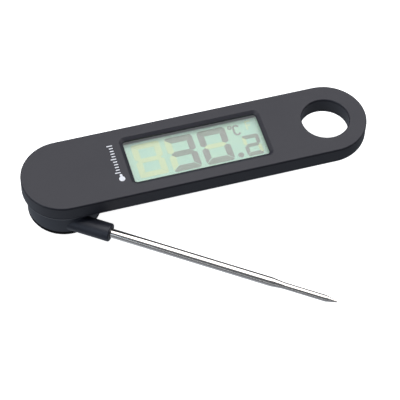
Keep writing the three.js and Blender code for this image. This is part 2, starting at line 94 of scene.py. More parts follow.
# Display window, which lies inside the edges of the lens.
WINDOW_X = (lowest("display_lens").x + 1.8, highest("display_lens").x - 1.9)
WINDOW_Y = highest("display_lens").y - 2.4
WINDOW_CORNER = 1.2
SLOPE_WIDTH = 1.65
SLOPE_DEPTH = 1
LAND_BOTTOM = highest("display_lens").z
LIP_UNDERCUT = 0.7
PAD_MARGIN = 1
GLASS_TOP = highest("lcd_glass").z

# Pieces in the back shell.
CASE_SCREWS = [f"case_screw_{i}" for i in range(1, 5)]
SCREW_PLACES = [middle(node) for node in CASE_SCREWS]
SCREW_SEAT = UNDERSIDE + 2
SCREW_SINK = 2.2
SCREW_BORE = 1.15
BUTTON = middle("unit_button")
BUTTON_HOLE = 2.75
COVER = middle("battery_cover")
COVER_RADIUS = 6.5
NOTCH_ANGLE = math.radians(50)
COVER_TURN = math.radians(40)
PIVOT_RADIUS = 6.5
PIVOT_END = lowest("back_shell").z

# Hub and probe, about the hinge axis. The probe runs beside the axis, not through it.
HUB_RADIUS = 16
HUB_TOP = highest("probe_hub").z
HUB_BOTTOM_ROUND = 1.5
FOOT_TOP = 2.8
FOOT_THICKNESS = 0.3
CAP_RADIUS = 13.2
PROBE_SWING = math.radians(35.7)
PROBE_OFFSET = 10.5
PROBE_HEIGHT = middle("probe_tube").z
SLEEVE_RADIUS = 4
SLEEVE_END = 25.6
TUBE_RADIUS = 2


# ---------------------------------------------------------------- materials

PAINTED_GLOW = 0.325  # painted glow: how strongly the display's reflector and segments give off light of their own, which lifts them where the window's lip shades them


def new_material(name, colour, roughness, metallic=0.0):
    """A Principled material, with the shader, its node tree and coordinates that stay on the piece."""
    material = bpy.data.materials.new(name)
    material.use_nodes = True
    nodes = material.node_tree.nodes
    shader = nodes["Principled BSDF"]
    shader.inputs["Base Color"].default_value = (*colour, 1)
    shader.inputs["Roughness"].default_value = roughness
    shader.inputs["Metallic"].default_value = metallic
    coordinates = nodes.new("ShaderNodeTexCoord")
    return material, shader, coordinates.outputs["Object"]


def noise(material, place, size, detail=3.0, length=1.0, turn=0.0):
    """Noise with features of about size millimetres, drawn out lengthways along a level axis."""
    tree = material.node_tree
    mapping = tree.nodes.new("ShaderNodeMapping")
    mapping.vector_type = "TEXTURE"
    mapping.inputs["Rotation"].default_value = (0, 0, turn)
    mapping.inputs["Scale"].default_value = (length, 1, 1)
    tree.links.new(place, mapping.inputs["Vector"])
    texture = tree.nodes.new("ShaderNodeTexNoise")
    texture.inputs["Scale"].default_value = 1 / (size * MM)
    texture.inputs["Detail"].default_value = detail
    tree.links.new(mapping.outputs["Vector"], texture.inputs["Vector"])
    return texture.outputs["Fac"]


def drive(material, factor, socket, low, high):
    """Lets a texture move a number on the shader between two values."""
    tree = material.node_tree
    ramp = tree.nodes.new("ShaderNodeMapRange")
    ramp.inputs["From Min"].default_value = 0.3
    ramp.inputs["From Max"].default_value = 0.7
    ramp.inputs["To Min"].default_value = low
    ramp.inputs["To Max"].default_value = high
    tree.links.new(factor, ramp.inputs["Value"])
    tree.links.new(ramp.outputs["Result"], socket)


def tint(material, factor, socket, first, second):
    """Lets a texture blend two colours."""
    tree = material.node_tree
    ramp = tree.nodes.new("ShaderNodeValToRGB")
    ramp.color_ramp.elements[0].position = 0.3
    ramp.color_ramp.elements[0].color = (*first, 1)
    ramp.color_ramp.elements[1].position = 0.7
    ramp.color_ramp.elements[1].color = (*second, 1)
    tree.links.new(factor, ramp.inputs["Fac"])
    tree.links.new(ramp.outputs["Color"], socket)


def bump(material, shader, factor, height, strength=1.0, under=None):
    """Raises the surface by a texture, height millimetres at most."""
    tree = material.node_tree
    node = tree.nodes.new("ShaderNodeBump")
    node.inputs["Strength"].default_value = strength
    node.inputs["Distance"].default_value = height * MM
    tree.links.new(factor, node.inputs["Height"])
    if under is not None:
        tree.links.new(under, node.inputs["Normal"])
    tree.links.new(node.outputs["Normal"], shader.inputs["Normal"])
    return node.outputs["Normal"]


def moulded(name, dark, light, roughness, grain, grain_height, shine=0.5):
    """Moulded plastic or rubber with mottled colour, patchy gloss and a fine grain."""
    material, shader, place = new_material(name, dark, roughness)
    shader.inputs["Specular IOR Level"].default_value = shine
    patches = noise(material, place, 9, detail=4)
    tint(material, patches, shader.inputs["Base Color"], dark, light)
    drive(material, patches, shader.inputs["Roughness"], roughness - 0.03, roughness + 0.04)
    ripple = bump(material, shader, noise(material, place, 1.4, detail=1), 0.002, 0.5)
    bump(material, shader, noise(material, place, grain, detail=2), grain_height, 0.7, under=ripple)
    return material


def steel(name, colour, roughness, brushed_along):
    """Polished stainless steel with fine lines left by the polishing wheel."""
    material, shader, place = new_material(name, colour, roughness, metallic=1.0)
    lines = noise(material, place, 0.12, detail=4, length=60 if brushed_along else 1, turn=-PROBE_SWING)
    drive(material, lines, shader.inputs["Roughness"], roughness - 0.03, roughness + 0.05)
    bump(material, shader, lines, 0.0006, 0.25)
    return material


def soft_touch():
    dark, light = (0.0215, 0.021, 0.0285), (0.0255, 0.025, 0.0325)
    return moulded("soft_touch_black", dark, light, 0.43, 0.14, 0.005, shine=0.4)


def hub_plastic():
    return moulded("hub_black", (0.023, 0.025, 0.035), (0.028, 0.03, 0.041), 0.45, 0.22, 0.004, shine=0.52)


def silicone():
    return moulded("silicone_black", (0.012, 0.012, 0.013), (0.017, 0.017, 0.018), 0.6, 0.3, 0.004)


def foot_painted_shade():
    # Painted shade: a near-black ring standing in for the dark line of shade along the disc's foot.
    return moulded("foot_shade_black", (0.004, 0.004, 0.004), (0.007, 0.007, 0.007), 0.75, 0.3, 0.004, shine=0.12)


def white_plastic():
    return moulded("holder_white", (0.6, 0.6, 0.58), (0.68, 0.68, 0.66), 0.5, 0.25, 0.005)


def display_mint():
    """The reflector behind the liquid crystal, faintly mottled under a satin polariser."""
    material, shader, place = new_material("lcd_mint", (0.25, 0.43, 0.3), 0.32)
    shader.inputs["Specular IOR Level"].default_value = 0.15
    # Painted glow: the reflector gives off a little light of its own, lifting it out of the shade under the
    # window's lip.
    shader.inputs["Emission Color"].default_value = (0.7, 0.8, 0.76, 1)
    shader.inputs["Emission Strength"].default_value = PAINTED_GLOW
    clouds = noise(material, place, 7, detail=2)
    tint(material, clouds, shader.inputs["Base Color"], (0.23, 0.4, 0.305), (0.27, 0.41, 0.275))
    bump(material, shader, noise(material, place, 0.18, detail=1), 0.002, 0.4)
    return material


def segment_film(name, colour, spread):
    """The liquid crystal's segments, a little uneven from edge to edge."""
    material, shader, place = new_material(name, colour, 0.35)
    shader.inputs["Specular IOR Level"].default_value = 0.15
    # Painted glow: the segments give off light of their own too.
    shader.inputs["Emission Color"].default_value = (*colour, 1)
    shader.inputs["Emission Strength"].default_value = PAINTED_GLOW
    darker = [c * (1 - spread) for c in colour]
    lighter = [min(1, c * (1 + spread)) for c in colour]
    tint(material, noise(material, place, 1.6, detail=2), shader.inputs["Base Color"], darker, lighter)
    return material


def ink():
    """Pad-printed white ink, thinner in places."""
    material, shader, place = new_material("ink_white", (0.82, 0.84, 0.88), 0.5)
    cover = noise(material, place, 0.35, detail=3)
    tint(material, cover, shader.inputs["Base Color"], (0.66, 0.68, 0.72), (0.9, 0.92, 0.95))
    bump(material, shader, cover, 0.003, 0.5)
    return material


def clear_plastic():
    """A thin clear window: light passes straight through, and its polished face mirrors a little."""
    material = bpy.data.materials.new("clear_lens")
    material.use_nodes = True
    tree = material.node_tree
    tree.nodes.clear()
    output = tree.nodes.new("ShaderNodeOutputMaterial")
    through = tree.nodes.new("ShaderNodeBsdfTransparent")
    through.inputs["Color"].default_value = (0.97, 0.99, 0.98, 1)
    mirror = tree.nodes.new("ShaderNodeBsdfGlossy")
    mirror.inputs["Roughness"].default_value = 0.04
    slant = tree.nodes.new("ShaderNodeLayerWeight")
    steep = tree.nodes.new("ShaderNodeMath")
    steep.operation = "POWER"
    steep.inputs[1].default_value = 5
    share = tree.nodes.new("ShaderNodeMath")
    share.operation = "MULTIPLY_ADD"
    share.inputs[1].default_value = 0.96
    share.inputs[2].default_value = 0.04
    mix = tree.nodes.new("ShaderNodeMixShader")
    place = tree.nodes.new("ShaderNodeTexCoord").outputs["Object"]
    wave = tree.nodes.new("ShaderNodeBump")
    wave.inputs["Distance"].default_value = 0.002 * MM
    wave.inputs["Strength"].default_value = 0.2
    tree.links.new(noise(material, place, 8, detail=1), wave.inputs["Height"])
    tree.links.new(wave.outputs["Normal"], mirror.inputs["Normal"])
    tree.links.new(slant.outputs["Facing"], steep.inputs[0])
    tree.links.new(steep.outputs["Value"], share.inputs[0])
    tree.links.new(share.outputs["Value"], mix.inputs["Fac"])
    tree.links.new(through.outputs["BSDF"], mix.inputs[1])
    tree.links.new(mirror.outputs["BSDF"], mix.inputs[2])
    tree.links.new(mix.outputs["Shader"], output.inputs["Surface"])
    return material


def solder_mask():
    """Green board with the faint lines of its tracks."""
    material, shader, place = new_material("board_green", (0.02, 0.16, 0.06), 0.4)
    tracks = noise(material, place, 1.6, detail=0, length=6)
    tint(material, tracks, shader.inputs["Base Color"], (0.015, 0.12, 0.045), (0.03, 0.2, 0.08))
    bump(material, shader, tracks, 0.02, 0.5)
    return material


def nickel():
    """Rolled nickel strip."""
    material, shader, place = new_material("nickel_strip", (0.66, 0.62, 0.55), 0.3, metallic=1.0)
    rolled = noise(material, place, 0.2, detail=3, length=20)
    drive(material, rolled, shader.inputs["Roughness"], 0.24, 0.38)
    bump(material, shader, rolled, 0.001, 0.4)
    return material


def glazed(name, colour, roughness, size):
    """A small glossy piece: cast epoxy, glass, wire enamel or insulation."""
    material, shader, place = new_material(name, colour, roughness)
    darker = [c * 0.8 for c in colour]
    clouds = noise(material, place, size, detail=2)
    tint(material, clouds, shader.inputs["Base Color"], darker, colour)
    bump(material, shader, clouds, 0.004, 0.3)
    return material


MATERIALS = {
    "soft_touch_black": soft_touch(),
    "hub_black": hub_plastic(),
    "clear_lens": clear_plastic(),
    "lcd_mint": display_mint(),
    "white_plastic": white_plastic(),
    "black_rubber": silicone(),
    "board_green": solder_mask(),
    "chip_epoxy": glazed("chip_epoxy", (0.012, 0.012, 0.012), 0.25, 1.0),
    "bead_glass": glazed("bead_glass", (0.35, 0.48, 0.38), 0.08, 0.8),
    "nickel_strip": nickel(),
    "stainless_plain": steel("stainless_plain", (0.62, 0.61, 0.59), 0.26, False),
    "stainless_polished": steel("stainless_polished", (0.84, 0.79, 0.735), 0.1, True),
    "wire_red": glazed("wire_red", (0.4, 0.02, 0.015), 0.4, 1.2),
    "wire_black": glazed("wire_black", (0.015, 0.015, 0.015), 0.4, 1.2),
    "wire_enamel": glazed("wire_enamel", (0.3, 0.1, 0.03), 0.3, 0.6),
}


# ---------------------------------------------------------------- closed meshes


class Solid:
    """A closed mesh put together from loops of points."""

    def __init__(self):
        self.bm = bmesh.new()

    def loop(self, points):
        return [self.bm.verts.new(point) for point in points]

    def wall(self, *loops):
        """Joins loops of equal length, one to the next."""
        for first, second in zip(loops, loops[1:]):
            for i in range(len(first)):
                j = (i + 1) % len(first)
                self.bm.faces.new((first[i], first[j], second[j], second[i]))

    def fill(self, outer, *holes):
        """A flat stretch inside one loop and outside the others."""
        loops = (outer, *holes)
        corners = [corner for loop in loops for corner in loop]
        for triangle in tessellate_polygon([[corner.co for corner in loop] for loop in loops]):
            self.bm.faces.new([corners[i] for i in triangle])

    def cone(self, loop, point):
        """Closes a loop to a single point."""
        apex = self.bm.verts.new(point)
        for i in range(len(loop)):
            self.bm.faces.new((loop[i], loop[(i + 1) % len(loop)], apex))

    def mesh(self, name, sharp=35):
        """The mesh in metres, with edges sharper than that many degrees left crisp."""
        bmesh.ops.recalc_face_normals(self.bm, faces=self.bm.faces)
        loose = [edge for edge in self.bm.edges if len(edge.link_faces) != 2]
        if loose:
            raise ValueError(f"{name} has {len(loose)} open edges")
        self.bm.transform(Matrix.Scale(MM, 4))
        mesh = bpy.data.meshes.new(name)
        self.bm.to_mesh(mesh)
        self.bm.free()
        shade(mesh, sharp)
        return mesh


def shade(mesh, sharp):
    mesh.shade_smooth()
    mesh.set_sharp_from_angle(angle=math.radians(sharp))


def circle(x, y, radius, z, steps=72):
    turns = [2 * math.pi * i / steps for i in range(steps)]
    return [(x + radius * math.cos(t), y + radius * math.sin(t), z) for t in turns]


def handle_outline(inset, z, steps=56):
    """The handle's outline, drawn in from its edge by inset."""
    r = RADIUS - inset
    right = [-math.pi / 2 + math.pi * i / steps for i in range(steps + 1)]
    left = [math.pi / 2 + math.pi * i / steps for i in range(steps + 1)]
    return [
        *((SPACING + r * math.cos(t), r * math.sin(t), z) for t in right),
        *((r * math.cos(t), r * math.sin(t), z) for t in left),
    ]


def rounded_rectangle(x0, x1, y0, y1, corner, z, steps=8):
    centres = [(x1 - corner, y0 + corner), (x1 - corner, y1 - corner),
               (x0 + corner, y1 - corner), (x0 + corner, y0 + corner)]
    points = []
    for quarter, (x, y) in enumerate(centres):
        for i in range(steps + 1):
            t = math.pi / 2 * (quarter - 1 + i / steps)
            points.append((x + corner * math.cos(t), y + corner * math.sin(t), z))
    return points


def arc(centre, height, radius, start, end, steps=5):
    """Round stretch of a profile as (distance, height) pairs, with its angles in degrees."""
    turns = [math.radians(start + (end - start) * i / steps) for i in range(steps + 1)]
    return [(centre + radius * math.cos(t), height + radius * math.sin(t)) for t in turns]


def upright(x=0, y=0):
    """Places a turned solid on an upright axis through x, y."""
    return lambda radius, t, z: (x + radius * math.cos(t), y + radius * math.sin(t), z)


def turned(profile, steps=96, place=upright()):
    """A solid turned about an axis, from (radius, distance) pairs that start and end on the axis."""
    solid = Solid()
    turns = [2 * math.pi * i / steps for i in range(steps)]
    loops = [solid.loop(place(r, t, z) for t in turns) for r, z in profile[1:-1]]
    solid.wall(*loops)
    solid.cone(loops[0], place(0, 0, profile[0][1]))
    solid.cone(loops[-1], place(0, 0, profile[-1][1]))
    return solid


def ring(profile, steps=96):
    """A hollow solid turned about the hinge axis, from a profile that closes on itself."""
    solid = Solid()
    loops = [solid.loop(circle(0, 0, radius, z, steps)) for radius, z in profile]
    solid.wall(*loops, loops[0])
    return solid


def along_probe(radius, t, distance):
    """Places a turned solid on the probe's axis, before the probe is swung out."""
    return (distance, -PROBE_OFFSET + radius * math.cos(t), PROBE_HEIGHT + radius * math.sin(t))


# ---------------------------------------------------------------- pieces


def piece(name, mesh, body, slot, replaced=(), material=None):
    """Shows a mesh as a piece of the object, in place of the CAD nodes it stands for."""
    mesh.materials.append(material or MATERIALS[slot])
    made = bpy.data.objects.new(name, mesh)
    bpy.context.scene.collection.objects.link(made)
    even = made.modifiers.new("even_shading", "WEIGHTED_NORMAL")
    even.keep_sharp = True
    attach(made, body)
    if replaced:
        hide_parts(*replaced)


def carve(mesh, tools, operation="DIFFERENCE", sharp=35):
    """Cuts tools out of a mesh, or joins them to it, and gives the new mesh."""
    scene = bpy.context.scene
    helpers = []
    for number, each in enumerate([mesh, *tools]):
        helper = bpy.data.objects.new(f"helper_{number}", each)
        scene.collection.objects.link(helper)
        helpers.append(helper)
    blank = helpers[0]
    for tool in helpers[1:]:
        step = blank.modifiers.new("carve", "BOOLEAN")
        step.operation = operation
        step.solver = "EXACT"
        step.object = tool
    evaluated = blank.evaluated_get(bpy.context.evaluated_depsgraph_get())
    result = bpy.data.meshes.new_from_object(evaluated)
    result.name = mesh.name
    for helper in helpers:
        bpy.data.objects.remove(helper)
    shade(result, sharp)
    return result


def swung(mesh):
    """Turns a mesh about the hinge axis to where the probe stands at rest."""
    mesh.transform(Matrix.Rotation(-PROBE_SWING, 4, "Z"))
    return mesh


# ---------------------------------------------------------------- front shell


def edge_line(top):
    """A fine groove round a wall, just below where its top edge starts to round over."""
    high = top - EDGE_LINE_EASE
    low = top - EDGE_LINE_WIDTH
    return [
        (0, low - EDGE_LINE_EASE), (EDGE_LINE_DEPTH, low),
        (EDGE_LINE_DEPTH, high - EDGE_LINE_EASE), (0, high),
    ]


def front_shell():
    solid = Solid()
    start = PARTING + SEAM_HALF_GAP
    face = TOP - INK
    wall_top = face - TOP_ROUND
    seam = [(SEAM_ROUND, start)]
    seam += [(SEAM_ROUND - h, z) for h, z in arc(0, start + SEAM_ROUND, SEAM_ROUND, -60, 0, 3)]
    outer = seam + edge_line(wall_top)
    outer += [(TOP_ROUND - h, z) for h, z in arc(0, wall_top, TOP_ROUND, 0, 90, 6)]
    outside = [solid.loop(handle_outline(inset, z)) for inset, z in outer]
    inside = [solid.loop(handle_outline(WALL, z)) for z in (start, ROOF)]

    hole_wall_top = face - HOLE_TOP_ROUND
    hole_profile = seam + edge_line(hole_wall_top)
    hole_profile += [(HOLE_TOP_ROUND - h, z) for h, z in arc(0, hole_wall_top, HOLE_TOP_ROUND, 0, 90, 7)]
    hole = [solid.loop(circle(SPACING, 0, HOLE_RADIUS + grow, z)) for grow, z in hole_profile]
    hole_inside = [solid.loop(circle(SPACING, 0, HOLE_RING, z)) for z in (start, ROOF)]

    def window(grow, z):
        x0, x1 = WINDOW_X
        y = WINDOW_Y + grow
        return rounded_rectangle(x0 - grow, x1 + grow, -y, y, WINDOW_CORNER + grow, z)

    slope_foot = face - SLOPE_DEPTH
    window_profile = [
        (LIP_UNDERCUT, LAND_BOTTOM), (0, LAND_BOTTOM + LIP_UNDERCUT), (0, slope_foot - 0.12),
        (0.04, slope_foot - 0.03), (0.14, slope_foot + 0.06),
        (SLOPE_WIDTH - 0.2, face - 0.11), (SLOPE_WIDTH, face - 0.03), (SLOPE_WIDTH + 0.2, face),
    ]
    opening = [solid.loop(window(grow, z)) for grow, z in window_profile]
    pad_x = (lowest("display_lens").x - PAD_MARGIN, highest("display_lens").x + PAD_MARGIN)
    pad_y = highest("display_lens").y + PAD_MARGIN
    pad = [solid.loop(rounded_rectangle(*pad_x, -pad_y, pad_y, 0.6, z)) for z in (LAND_BOTTOM, ROOF)]

    solid.wall(*outside)
    solid.wall(*inside)
    solid.wall(*hole)
    solid.wall(*hole_inside)
    solid.wall(*opening)
    solid.wall(*pad)
    solid.fill(outside[-1], hole[-1], opening[-1])
    solid.fill(outside[0], inside[0])
    solid.fill(hole_inside[0], hole[0])
    solid.fill(inside[-1], hole_inside[-1], pad[-1])
    solid.fill(pad[0], opening[0])
    return solid.mesh("handle_front_shell")


# ---------------------------------------------------------------- back shell


def cover_outline(grow, z):
    """The round opening under the cell, with two notches for the cover's lugs."""
    radius = COVER_RADIUS + 0.15 + grow
    reach = COVER_RADIUS + 1.4 + grow
    half_width = 2.4 + grow
    points = []
    for side in (0, math.pi):
        edge = math.asin(half_width / radius)
        tip = math.asin(half_width / reach)
        plain = [edge + (math.pi - 2 * edge) * i / 30 for i in range(31)]
        notch = [math.pi - tip + 2 * tip * i / 6 for i in range(7)]
        points += [(radius, side + t) for t in plain]
        points += [(reach, side + t) for t in notch]
    turn = NOTCH_ANGLE
    return [(COVER.x + r * math.cos(t + turn), COVER.y + r * math.sin(t + turn), z) for r, t in points]


def back_shell():
    solid = Solid()
    rim = PARTING - SEAM_HALF_GAP
    chamfer = 0.25
    outer = [(BOTTOM_ROUND - h, z) for h, z in arc(0, UNDERSIDE + BOTTOM_ROUND, BOTTOM_ROUND, -90, -8, 10)]
    outer += [(0.015, rim - SEAM_ROUND), (SEAM_ROUND * 0.4, rim - SEAM_ROUND * 0.3), (SEAM_ROUND, rim)]
    outside = [solid.loop(handle_outline(inset, z)) for inset, z in outer]
    inside = [solid.loop(handle_outline(WALL, z)) for z in (FLOOR_TOP, rim)]
    hole = [solid.loop(circle(SPACING, 0, HOLE_RADIUS + inset, z)) for inset, z in outer]
    hole_inside = [solid.loop(circle(SPACING, 0, HOLE_RING, z)) for z in (FLOOR_TOP, rim)]
    for loops in (outside, inside, hole, hole_inside):
        solid.wall(*loops)
    solid.fill(outside[-1], inside[-1])
    solid.fill(hole_inside[-1], hole[-1])

    below = [hole[0]]
    above = [hole_inside[0]]
    seat = [
        (SCREW_SINK + chamfer, UNDERSIDE), (SCREW_SINK, UNDERSIDE + chamfer), (SCREW_SINK, SCREW_SEAT),
        (SCREW_BORE, SCREW_SEAT), (SCREW_BORE, rim),
    ]
    for place in SCREW_PLACES:
        sink = [solid.loop(circle(place.x, place.y, r, z, 32)) for r, z in seat]
        post = [solid.loop(circle(place.x, place.y, 3.2, z, 32)) for z in (FLOOR_TOP, rim)]
        solid.wall(*sink, post[1], post[0])
        below.append(sink[0])
        above.append(post[0])

    eased = [(chamfer, UNDERSIDE), (0, UNDERSIDE + chamfer), (0, FLOOR_TOP)]
    key = [solid.loop(circle(BUTTON.x, BUTTON.y, BUTTON_HOLE + grow, z, 40)) for grow, z in eased]
    cover = [solid.loop(cover_outline(grow, z)) for grow, z in eased]
    pivot_profile = [
        (PIVOT_RADIUS, UNDERSIDE), (PIVOT_RADIUS, PIVOT_END + chamfer), (PIVOT_RADIUS - chamfer, PIVOT_END),
        (2, PIVOT_END), (2, UNDERSIDE + 2.4), (7, UNDERSIDE + 2.4), (7, FLOOR_TOP),
    ]
    pivot = [solid.loop(circle(0, 0, r, z, 64)) for r, z in pivot_profile]
    for loops in (key, cover, pivot):
        solid.wall(*loops)
        below.append(loops[0])
        above.append(loops[-1])
    solid.fill(outside[0], *below)
    solid.fill(inside[0], *above)
    return solid.mesh("handle_back_shell")


# ---------------------------------------------------------------- display


# Digits, each given by where it starts and ends along the display and across it.
DIGIT_BOTTOM = -7.9
DIGIT_TOP = 10.2
IDLE_HUNDREDS = (32.0, 44.6, -7.6, 10.4)
TENS = (46.7, 59.2, DIGIT_BOTTOM, DIGIT_TOP)
UNITS = (61.4, 74.0, DIGIT_BOTTOM, DIGIT_TOP)
TENTHS = (79.7, 87.1, DIGIT_BOTTOM, 2.9)
SEGMENT_WIDTH = 2.8
SMALL_SEGMENT_WIDTH = 1.6

# The films that carry the segments, in layers on the glass.
FILM_THICKNESS = 0.06
FILM_STEP = 0.05
SEGMENT_CORNER = 0.24


def seven_segments(x0, x1, y0, y1, width, gap):
    """Outlines of a digit's seven segments, by their usual letters."""
    middle_height = (y0 + y1) / 2
    half = width * 0.42
    corner = width * 0.45
    slant = width * 0.95
    point = width * 0.35
    top = [(x0 + corner, y1), (x1 - corner, y1), (x1 - gap, y1 - gap - 0.1), (x1 - slant - gap, y1 - slant),
           (x0 + slant + gap, y1 - slant), (x0 + gap, y1 - gap - 0.1)]
    upper_left = [(x0, y1 - corner - gap), (x0 + gap * 0.5, y1 - 2 * gap), (x0 + width, y1 - width - gap),
                  (x0 + width, middle_height + gap + point), (x0 + width * 0.5, middle_height + gap),
                  (x0, middle_height + gap + point)]
    bar = [(x0 + point + gap, middle_height), (x0 + width + gap * 0.5, middle_height + half),
           (x1 - width - gap * 0.5, middle_height + half), (x1 - point - gap, middle_height),
           (x1 - width - gap * 0.5, middle_height - half), (x0 + width + gap * 0.5, middle_height - half)]

    def mirrored(outline, across_x, across_y):
        return [((x0 + x1 - x) if across_x else x, (y0 + y1 - y) if across_y else y) for x, y in outline]

    return {
        "a": top, "b": mirrored(upper_left, True, False), "c": mirrored(upper_left, True, True),
        "d": mirrored(top, False, True), "e": mirrored(upper_left, False, True), "f": upper_left, "g": bar,
    }


def film(name, outlines, z, thickness, rounding=0):
    """Thin flat shapes, rounded at the corners if wanted, all in one piece."""
    bm = bmesh.new()
    for outline in outlines:
        corners = [bm.verts.new((x, y, z)) for x, y in outline]
        bm.faces.new(corners)
    if rounding:
        bmesh.ops.bevel(
            bm, geom=bm.verts, offset=rounding, offset_type="OFFSET", affect="VERTICES", segments=3,
            profile=0.5,
        )
    bmesh.ops.recalc_face_normals(bm, faces=bm.faces)
    raised = bmesh.ops.extrude_face_region(bm, geom=bm.faces[:])
    top = [item for item in raised["geom"] if isinstance(item, bmesh.types.BMVert)]
    bmesh.ops.translate(bm, verts=top, vec=(0, 0, thickness))
    bmesh.ops.recalc_face_normals(bm, faces=bm.faces)
    bm.transform(Matrix.Scale(MM, 4))
    mesh = bpy.data.meshes.new(name)
    bm.to_mesh(mesh)
    bm.free()
    shade(mesh, 35)
    return mesh


def moved(outlines, dx, dy):
    return [[(x + dx, y + dy) for x, y in outline] for outline in outlines]


def rectangle(x0, x1, y0, y1):
    return [(x0, y0), (x1, y0), (x1, y1), (x0, y1)]


def disc(x, y, radius, steps=24):
    return [(px, py) for px, py, _ in circle(x, y, radius, 0, steps)]


def stroke(points, width):
    """The outline of a line drawn through points."""
    left, right = [], []
    for i, (x, y) in enumerate(points):
        before = points[max(i - 1, 0)]
        after = points[min(i + 1, len(points) - 1)]
        run = Vector((after[0] - before[0], after[1] - before[1])).normalized()
        left.append((x - run.y * width / 2, y + run.x * width / 2))
        right.append((x + run.y * width / 2, y - run.x * width / 2))
    return left + right[::-1]


def point_and_unit():
    """The decimal point, and the small ring and C of the unit."""
    point = disc(76.9, -6.7, 1.3)
    small_ring = stroke(arc(76.25, 8.85, 0.75, 1, 359, 24), 0.6)
    letter = stroke(arc(78.9, 8.15, 1.25, 20, 180, 6) + arc(78.9, 5.6, 1.25, 180, 340, 6), 0.85)
    return [point, small_ring, letter]


def printed_scale():
    """A fine scale of short ticks beside the window, with a small thermometer at its foot."""
    start, end, ticks = -5.2, 9.6, 10
    outlines = []
    for i in range(ticks + 1):
        y = start + (end - start) * i / ticks
        outlines.append(stroke([(21.4 if i % 5 == 0 else 22.1, y), (23.8, y)], 0.5))
    bulb = arc(23.6, -8.6, 1.3, 115, 425, 20)
    stem = arc(23.6, -6.6, 0.55, 0, 180, 6)
    outlines.append(bulb + stem)
    return outlines


def display_segments():
    """Outlines of the shown segments, the idle ones with an idle F, and the shown ones that lie level."""
    hundreds = seven_segments(*IDLE_HUNDREDS, SEGMENT_WIDTH, 0.12)
    tens = seven_segments(*TENS, SEGMENT_WIDTH, 0.3)
    units = seven_segments(*UNITS, SEGMENT_WIDTH, 0.3)
    tenths = seven_segments(*TENTHS, SMALL_SEGMENT_WIDTH, 0.2)
    shown = [tens[s] for s in "abcdg"] + [units[s] for s in "abcdef"] + [tenths[s] for s in "abdeg"]
    idle = [*hundreds.values(), tens["e"], tens["f"], units["g"], tenths["c"], tenths["f"]]
    idle.append(stroke([(85.9, 10.4), (83.7, 10.4), (83.7, 5.9)], 0.7))
    idle.append(stroke([(84.2, 8.2), (85.5, 8.2)], 0.7))
    level = [tens[s] for s in "adg"] + [units[s] for s in "ad"] + [tenths[s] for s in "adg"]
    return shown, idle, level


def display_cell():
    """Two bonded panes, of which the upper runs on past the lower to carry the contacts."""
    low, high = lowest("lcd_glass"), highest("lcd_glass")
    ledge = 1.3
    joint = (low.z + high.z) / 2
    edge = 0.12
    profile = [
        (edge, ledge, low.z), (0, ledge, low.z + edge), (0, ledge, joint), (0, 0, joint),
        (0, 0, high.z - edge), (edge, 0, high.z),
    ]
    solid = Solid()
    loops = []
    for inset, step, z in profile:
        x = (low.x + inset, high.x - inset)
        y = (low.y + step + inset, high.y - inset)
        loops.append(solid.loop(rounded_rectangle(*x, *y, 0.3, z, 3)))
    solid.wall(*loops)
    solid.fill(loops[0])
    solid.fill(loops[-1])
    return solid.mesh("lcd_cell")


def window_lens():
    """The clear lens, a plate with its edges eased."""
    low, high = lowest("display_lens"), highest("display_lens")
    edge = 0.15
    profile = [(edge, low.z), (0, low.z + edge), (0, high.z - edge), (edge, high.z)]
    solid = Solid()
    loops = []
    for inset, z in profile:
        x = (low.x + inset, high.x - inset)
        y = (low.y + inset, high.y - inset)
        loops.append(solid.loop(rounded_rectangle(*x, *y, 1.5 - inset, z)))
    solid.wall(*loops)
    solid.fill(loops[0])
    solid.fill(loops[-1])
    return solid.mesh("window_lens")


# ---------------------------------------------------------------- hub and probe


def hub():
    """The disc under the handle, with the sleeve that holds the tube running off beside its axis."""
    edge = 0.12
    core = HUB_RADIUS - FOOT_THICKNESS
    disc_profile = [(0, FOOT_THICKNESS), (core - 1, FOOT_THICKNESS), (core, 1.2), (core, FOOT_TOP - 0.05)]
    disc_profile += [(HUB_RADIUS - 0.1, FOOT_TOP - 0.05), (HUB_RADIUS, FOOT_TOP + 0.05)]
    disc_profile += arc(HUB_RADIUS - edge, HUB_TOP - edge, edge, 0, 90, 4)
    disc_profile += [(0, HUB_TOP)]
    disc = turned(disc_profile, 128).mesh("hub_with_sleeve")

    cavity = turned([
        (0, -1), (CAP_RADIUS + 0.3, -1), (CAP_RADIUS + 0.3, -0.01), (CAP_RADIUS + 0.06, 0.22),
        (CAP_RADIUS + 0.06, 1.7), (12.9, 1.7), (12.9, 8.8), (PIVOT_RADIUS + 0.15, 8.8),
        (PIVOT_RADIUS + 0.15, 10.7), (9.9, 10.7), (9.9, HUB_TOP + 1), (0, HUB_TOP + 1),
    ], 96).mesh("cavity")
    bore = turned([
        (0, 0), (TUBE_RADIUS + 0.06, 0), (TUBE_RADIUS + 0.06, SLEEVE_END - 0.25),
        (TUBE_RADIUS + 0.6, SLEEVE_END + 0.29), (0, SLEEVE_END + 0.29),
    ], 64, along_probe).mesh("bore")
    whole = carve(disc, [sleeve()], "UNION")
    return swung(carve(whole, [cavity, bore]))


